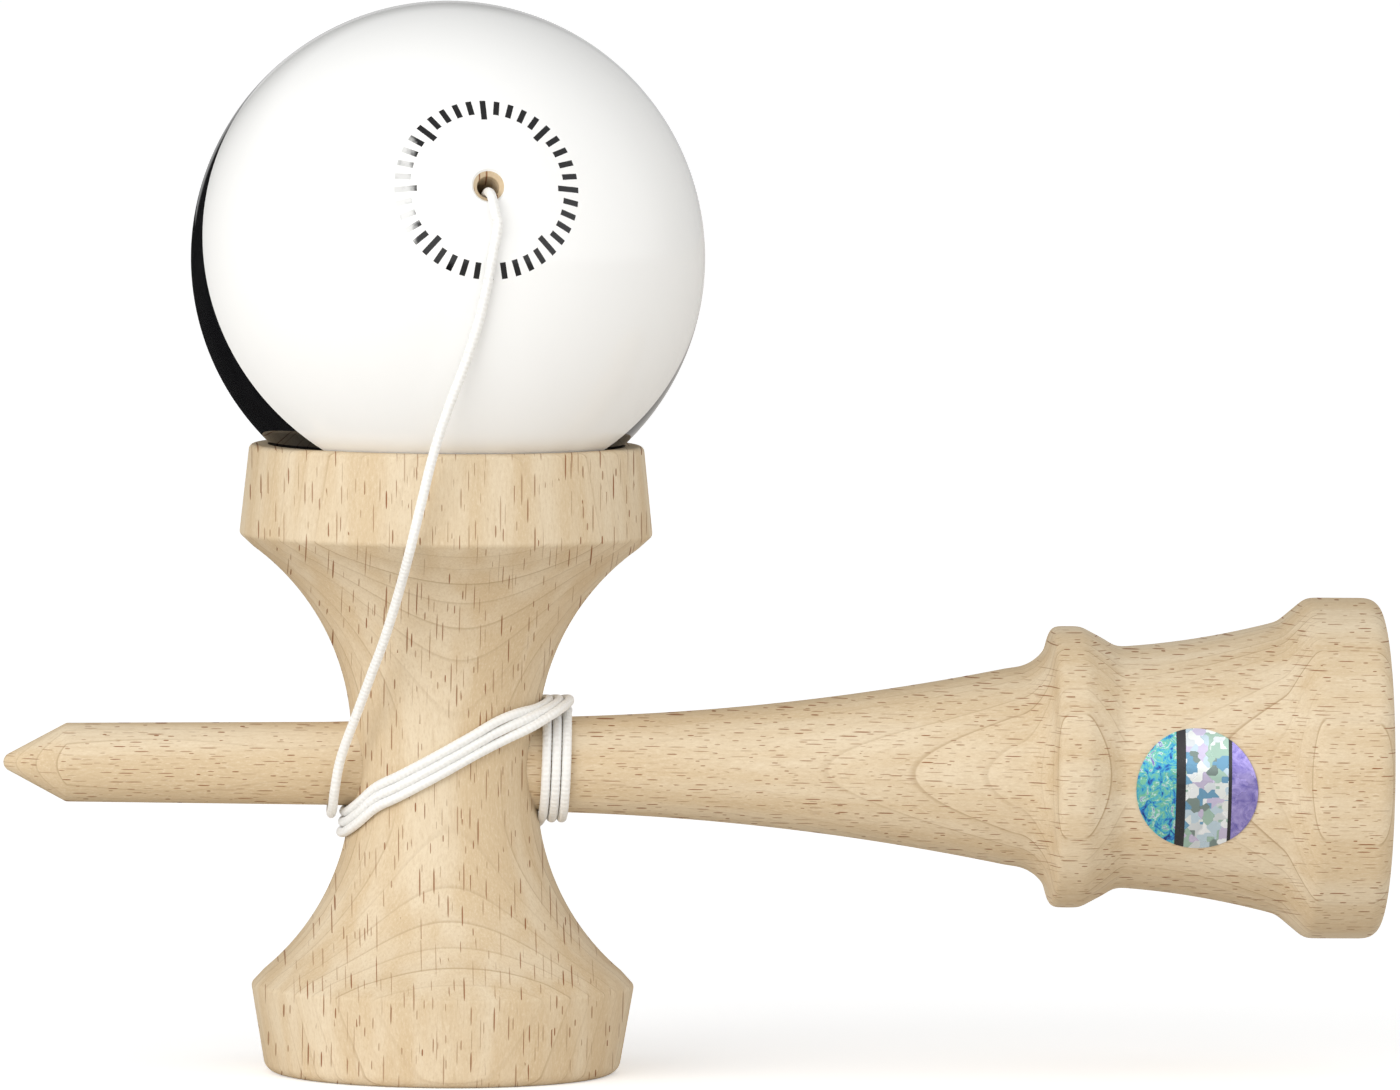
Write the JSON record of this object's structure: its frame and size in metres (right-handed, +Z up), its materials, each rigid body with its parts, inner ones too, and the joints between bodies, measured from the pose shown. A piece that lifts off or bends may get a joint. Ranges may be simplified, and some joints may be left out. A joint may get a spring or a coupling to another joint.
{
  "type": "kendama",
  "caption": "Wooden skill toy: cross cup on a tapered spike handle, with a drilled two-colour ball tied on a string and resting on the big cup.",
  "frame": {"origin": "centre of the small cup's mouth, on the cross cup's axis, in the plane that the toy stands on", "axes": "+X along the handle from the spike to the base cup, +Y to the back, away from the string hole, +Z up along the cross cup's axis"},
  "size_m": [0.1613, 0.061, 0.1253],
  "materials": {
    "cup_wood": "sanded beech, unvarnished, grain along the cup's axis",
    "handle_wood": "sanded beech, unvarnished, grain along the handle",
    "ball_wood": "bare beech inside the holes",
    "white_lacquer": "high gloss lacquer",
    "black_lacquer": "high gloss lacquer",
    "string": "braided synthetic string",
    "bead": "moulded bead",
    "label_foil": "patterned holographic foil sticker"
  },
  "bodies": {
    "cross_cup": {"cross_cup": "cup_wood", "string_turns": "string"},
    "handle": {"handle": "handle_wood", "label": "label_foil", "handle_knot": "string"},
    "tether": {"string_free": "string", "bead": "bead", "bead_knot": "string"},
    "ball": {"ball_core": "ball_wood", "white_lacquer": "white_lacquer", "black_lacquer": "black_lacquer"}
  },
  "joints": [
    {"name": "handle_slide", "type": "slide", "parent": "cross_cup", "child": "handle", "axis": [1, 0, 0], "range_m": [0, 0.065], "deforming": ["string_turns"]},
    {"name": "ball_lift", "type": "slide", "parent": "cross_cup", "child": "tether", "axis": [0, 0, 1], "range_m": [0, 0.07], "deforming": ["string_free"]},
    {"name": "ball_spin", "type": "hinge", "parent": "tether", "child": "ball", "pos_m": [0, 0, 0.0953], "axis": [0.1239, -0.9413, 0.314], "continuous": true}
  ]
}
